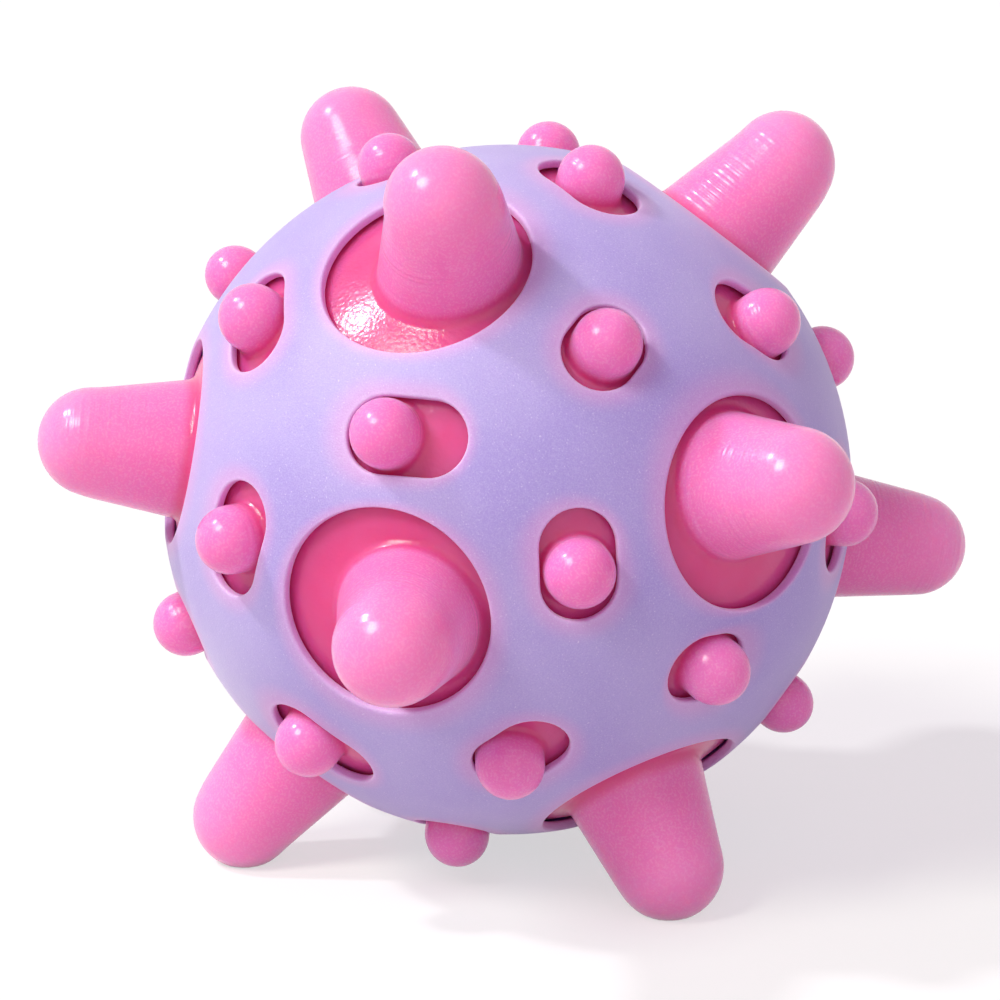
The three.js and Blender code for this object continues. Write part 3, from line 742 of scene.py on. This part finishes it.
class Finish:
    """A material under construction: short names for the nodes that the finishes below use."""

    def __init__(self, name, roughness=0.5, metallic=0.0):
        self.material = bpy.data.materials.new(name)
        self.material.use_nodes = True
        self.tree = self.material.node_tree
        self.shader = self.tree.nodes["Principled BSDF"]
        self.set("Roughness", roughness)
        self.set("Metallic", metallic)
        self.place = self.node("TexCoord").outputs["Object"]

    def node(self, kind, **settings):
        made = self.tree.nodes.new("ShaderNode" + kind)
        for key, value in settings.items():
            setattr(made, key, value)
        return made

    def put(self, socket, value):
        """Links an output to a socket, or sets the socket to a plain value."""
        if isinstance(value, bpy.types.NodeSocket):
            self.tree.links.new(value, socket)
        else:
            socket.default_value = value

    def set(self, name, value):
        self.put(self.shader.inputs[name], value)

    def math(self, operation, a, b=0.0):
        made = self.node("Math", operation=operation)
        self.put(made.inputs[0], a)
        self.put(made.inputs[1], b)
        return made.outputs[0]

    def noise(self, size, detail=2.0):
        """Soft spots of about one size, in metres."""
        made = self.node("TexNoise")
        self.put(made.inputs["Vector"], self.place)
        self.put(made.inputs["Scale"], 1 / size)
        self.put(made.inputs["Detail"], detail)
        return made.outputs[0]

    def spread(self, value, low, high, out_low=0.0, out_high=1.0):
        made = self.node("MapRange", interpolation_type="SMOOTHSTEP")
        for socket, number in zip(made.inputs, (value, low, high, out_low, out_high)):
            self.put(socket, number)
        return made.outputs[0]

    def mix(self, factor, a, b):
        made = self.node("Mix", data_type="RGBA")
        self.put(made.inputs["Factor"], factor)
        colours = [s for s in made.inputs if s.type == "RGBA"]
        self.put(colours[0], a)
        self.put(colours[1], b)
        return [s for s in made.outputs if s.type == "RGBA"][0]

    def radius(self):
        """Distance from the ball's centre."""
        made = self.node("VectorMath", operation="DISTANCE")
        self.put(made.inputs[0], self.place)
        self.put(made.inputs[1], tuple(CENTRE))
        return made.outputs["Value"]

    def bump(self, height, depth, strength=1.0):
        made = self.node("Bump")
        self.put(made.inputs["Height"], height)
        self.put(made.inputs["Distance"], depth)
        self.put(made.inputs["Strength"], strength)
        self.set("Normal", made.outputs[0])

    def inner_light(self, weight, depth, colour_reach):
        self.set("Subsurface Weight", weight)
        self.set("Subsurface Scale", depth)
        self.set("Subsurface Radius", colour_reach)


def skin_rubber():
    """Matt lavender rubber with a fine frosted grain, pinker round the holes by a painted glow, with
    painted light on the rims' walls.
    """
    made = Finish("skin_rubber")
    rim = made.node("Attribute", attribute_name="rim").outputs["Fac"]
    grain = made.noise(SKIN_GRAIN, detail=1)
    cloud = made.spread(made.noise(SKIN_CLOUD), 0.3, 0.7)
    painted_glow = made.spread(rim, HALO_FROM_MM, HALO_TO_MM, out_low=0.38, out_high=0)
    edge = made.spread(rim, 0, EDGE_TO_MM, out_low=0.35, out_high=0)
    frost = made.spread(grain, 0.35, 0.7, out_high=0.18)
    specks = made.spread(grain, 0.7, 0.78, out_high=0.6)
    colour = made.mix(cloud, SKIN_DEEP, SKIN_PALE)
    # Painted glow: pink round the holes, standing in for light from the pink ball shining through the skin
    colour = made.mix(painted_glow, colour, SKIN_PAINTED_GLOW)
    # Painted light: the rims' walls are lightened, standing in for light where they lie in shade
    colour = made.mix(edge, colour, SKIN_PAINTED_EDGE_LIGHT)
    colour = made.mix(frost, colour, SKIN_FROST)
    made.set("Base Color", made.mix(specks, colour, SKIN_SPECK))
    made.set("Roughness", made.spread(grain, 0.3, 0.7, out_low=0.46, out_high=0.6))
    made.set("Sheen Weight", 0.22)
    made.set("Sheen Roughness", 0.5)
    made.inner_light(weight=0.45, depth=1.4 * MM, colour_reach=(1.0, 0.7, 1.0))
    made.bump(made.math("ADD", grain, made.noise(SKIN_RIPPLE)), SKIN_RELIEF)
    return made.material


def ball_rubber():
    """Glossy pink rubber with turning marks, dust and pebbles, deeper in colour down at the ball by
    painted shade, and paler towards the tips by a painted glow.
    """
    made = Finish("ball_rubber")
    radius = made.radius()
    grown = made.spread(radius, BALL_RADIUS, BALL_RADIUS + GROUND_FADE)
    ground = made.math("SUBTRACT", 1.0, grown)
    painted_tip_glow = made.spread(radius, BALL_RADIUS + TIP_GLOW_FROM, SPIKE_CENTRE + SPIKE_TIP_RADIUS)
    cloud = made.spread(made.noise(BALL_CLOUD), 0.3, 0.75, out_high=0.08)
    dust = made.spread(made.noise(DUST_SPOT), 0.42, 0.72, out_high=0.2)
    # Painted shade: deeper, redder pink down at the ball, standing in for shade in the recesses and light
    # passing through thick rubber
    colour = made.mix(grown, BALL_GROUND_PAINTED_SHADE, BALL_GROWN)
    # Painted glow: paler towards the tips, standing in for light shining through the thinner rubber
    colour = made.mix(painted_tip_glow, colour, BALL_TIP_PAINTED_GLOW)
    colour = made.mix(cloud, colour, BALL_CLOUDED)
    made.set("Base Color", made.mix(made.math("MULTIPLY", dust, grown), colour, BALL_DUST))
    turns = made.node("TexNoise", noise_dimensions="1D")
    made.put(turns.inputs["W"], made.math("DIVIDE", radius, TURNING_PITCH))
    made.put(turns.inputs["Scale"], 1.0)
    made.put(turns.inputs["Detail"], 1.0)
    patches = made.spread(made.noise(MARK_PATCH, detail=1), 0.4, 0.65, out_low=0.15)
    marks = made.math("MULTIPLY", made.math("SUBTRACT", turns.outputs[0], NOISE_MIDDLE), patches)
    pebble_height = made.math("MULTIPLY", ground, PEBBLE_SHARE)
    pebbles = made.math("MULTIPLY", made.noise(PEBBLE, detail=1), pebble_height)
    gloss = made.noise(GLOSS_PATCH, detail=1)
    made.set("Roughness", made.spread(gloss, 0.3, 0.7, out_low=0.2, out_high=0.25))
    made.set("Specular IOR Level", 0.38)
    made.set("Sheen Weight", 0.12)
    made.set("Sheen Roughness", 0.35)
    made.inner_light(weight=0.9, depth=7 * MM, colour_reach=(1.0, 0.25, 0.4))
    made.bump(made.math("ADD", marks, pebbles), BALL_RELIEF)
    return made.material


def moulded(name, colour, roughness, other=None):
    """Plain moulded stuff: a colour with soft clouds of a second one, and a fine grain."""
    made = Finish(name, roughness)
    second = other or tuple(min(255, c + MOULD_LIGHTER) for c in colour)
    clouds = made.spread(made.noise(MOULD_CLOUD), 0.35, 0.65)
    made.set("Base Color", made.mix(clouds, srgb(*colour), srgb(*second)))
    made.bump(made.noise(MOULD_GRAIN), MOULD_RELIEF, strength=0.5)
    return made


def metal(name, colour, roughness):
    """Bare metal with faint stains and scuffs."""
    made = Finish(name, metallic=1.0)
    darker = tuple(c - STAIN_DARKER for c in colour)
    stains = made.spread(made.noise(STAIN), 0.3, 0.7)
    made.set("Base Color", made.mix(stains, srgb(*darker), srgb(*colour)))
    scuffs = made.noise(SCUFF, detail=3)
    made.set("Roughness", made.spread(scuffs, 0.3, 0.7, roughness - 0.08, roughness + 0.1))
    return made.material


def clear(name, colour, roughness):
    """Clear moulded plastic."""
    made = moulded(name, colour, roughness)
    made.set("Transmission Weight", 0.9)
    made.set("IOR", 1.5)
    return made.material


def plug_rubber():
    made = moulded("plug_rubber", (232, 112, 170), 0.38)
    made.inner_light(weight=0.5, depth=2 * MM, colour_reach=(1.0, 0.35, 0.5))
    return made.material


def dress_module():
    """Finishes of the light module's pieces, which keep the shapes of the solids."""
    tinned = metal("wire", (205, 208, 212), 0.28)
    strip = metal("strip_metal", (200, 202, 205), 0.3)
    steel = metal("cell_steel", (196, 198, 200), 0.24)
    finishes = {
        "capsule_base": clear("clear_plastic", (240, 244, 246), 0.08),
        "circuit_board": moulded("board", (36, 92, 62), 0.35, (46, 112, 74)).material,
        "chip_blob": moulded("chip_resin", (18, 18, 20), 0.22).material,
        "vibration_pin": tinned,
        "cell_strap": strip,
        "cell_contact": strip,
        "led_red": clear("lamp_red", (240, 70, 70), 0.06),
        "led_green": clear("lamp_green", (80, 220, 110), 0.06),
        "led_blue": clear("lamp_blue", (80, 120, 245), 0.06),
    }
    finishes["capsule_dome"] = finishes["capsule_base"]
    for name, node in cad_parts.items():
        finish = finishes.get(name)
        if "anode" in name or "cathode" in name:
            finish = tinned
        if name.startswith("button_cell"):
            finish = steel
        if finish:
            node.data.materials.clear()
            node.data.materials.append(finish)


def make_camera():
    right, up, back = camera_axes()
    metres_per_px = CAMERA_DISTANCE / CAMERA_LENS_PX
    aside = (BALL_CENTRE_PX[0] - IMAGE_PX / 2) * metres_per_px
    above = (IMAGE_PX / 2 - BALL_CENTRE_PX[1]) * metres_per_px
    place = CENTRE + back * CAMERA_DISTANCE - right * aside - up * above
    data = bpy.data.cameras.new("camera")
    data.sensor_width = SENSOR_WIDTH
    data.lens = data.sensor_width * CAMERA_LENS_PX / IMAGE_PX
    data.clip_start = CAMERA_NEAR
    camera = bpy.data.objects.new("camera", data)
    camera.location = place
    camera.rotation_mode = "QUATERNION"
    camera.rotation_quaternion = Vector(-back).to_track_quat("-Z", "Y")
    bpy.context.scene.collection.objects.link(camera)
    bpy.context.scene.camera = camera


def make_sun(name, direction, strength, angle, colour):
    data = bpy.data.lights.new(name, "SUN")
    data.color = colour
    data.energy = strength
    data.angle = math.radians(angle)
    lamp = bpy.data.objects.new(name, data)
    lamp.rotation_mode = "QUATERNION"
    lamp.rotation_quaternion = Vector(-unit(direction)).to_track_quat("-Z", "Y")
    bpy.context.scene.collection.objects.link(lamp)


def white_to_camera(tree, plain, white):
    """Chooses the white shader for camera, glossy and transmitted rays, and the plain one for the rest."""
    path = tree.nodes.new("ShaderNodeLightPath")
    either = tree.nodes.new("ShaderNodeMath")
    either.operation = "MAXIMUM"
    any_of = tree.nodes.new("ShaderNodeMath")
    any_of.operation = "MAXIMUM"
    tree.links.new(path.outputs["Is Camera Ray"], either.inputs[0])
    tree.links.new(path.outputs["Is Glossy Ray"], either.inputs[1])
    tree.links.new(either.outputs[0], any_of.inputs[0])
    tree.links.new(path.outputs["Is Transmission Ray"], any_of.inputs[1])
    mix = tree.nodes.new("ShaderNodeMixShader")
    tree.links.new(any_of.outputs[0], mix.inputs[0])
    tree.links.new(plain, mix.inputs[1])
    tree.links.new(white, mix.inputs[2])
    return mix.outputs[0]


def make_studio():
    """White surroundings, a white floor that keeps the ball's shadow, and the lamps."""
    right, up, back = camera_axes()
    world = bpy.data.worlds.new("studio")
    world.use_nodes = True
    tree = world.node_tree
    fill = tree.nodes["Background"]
    fill.inputs["Color"].default_value = FILL_COLOUR
    fill.inputs["Strength"].default_value = FILL_STRENGTH
    white = tree.nodes.new("ShaderNodeBackground")
    white.inputs["Color"].default_value = WHITE
    white.inputs["Strength"].default_value = 1
    out = tree.nodes["World Output"]
    tree.links.new(white_to_camera(tree, fill.outputs[0], white.outputs[0]), out.inputs["Surface"])
    bpy.context.scene.world = world

    floor_finish = Finish("floor", FLOOR_ROUGHNESS)
    floor_finish.set("Base Color", FLOOR_SHOWN)
    tree = floor_finish.tree
    bounce = tree.nodes.new("ShaderNodeBsdfDiffuse")
    bounce.inputs["Color"].default_value = FLOOR_BOUNCE
    glow = tree.nodes.new("ShaderNodeEmission")
    mix = tree.nodes.new("ShaderNodeMixShader")
    mix.inputs[0].default_value = FLOOR_GLOW
    tree.links.new(floor_finish.shader.outputs[0], mix.inputs[1])
    tree.links.new(glow.outputs[0], mix.inputs[2])
    out = tree.nodes["Material Output"]
    shown = white_to_camera(tree, bounce.outputs[0], mix.outputs[0])
    tree.links.new(shown, out.inputs["Surface"])
    data = bpy.data.meshes.new("floor")
    signs = [(-1, -1), (1, -1), (1, 1), (-1, 1)]
    data.from_pydata([(x * FLOOR_HALF, y * FLOOR_HALF, 0) for x, y in signs], [], [(0, 1, 2, 3)])
    data.materials.append(floor_finish.material)
    floor = bpy.data.objects.new("floor", data)
    bpy.context.scene.collection.objects.link(floor)

    for name, (x, y, z), strength, angle, colour in LAMPS:
        make_sun(name, x * right + y * up + z * back, strength, angle, colour)
    bpy.context.scene.view_settings.view_transform = "Standard"


make_camera()
make_studio()
make_skin(skin_rubber())
make_ball(ball_rubber())
make_plug(plug_rubber())
make_sleeve(moulded("sleeve_film", (42, 80, 155), 0.3).material)
make_coil(metal("spring_wire", (206, 178, 104), 0.28))
dress_module()
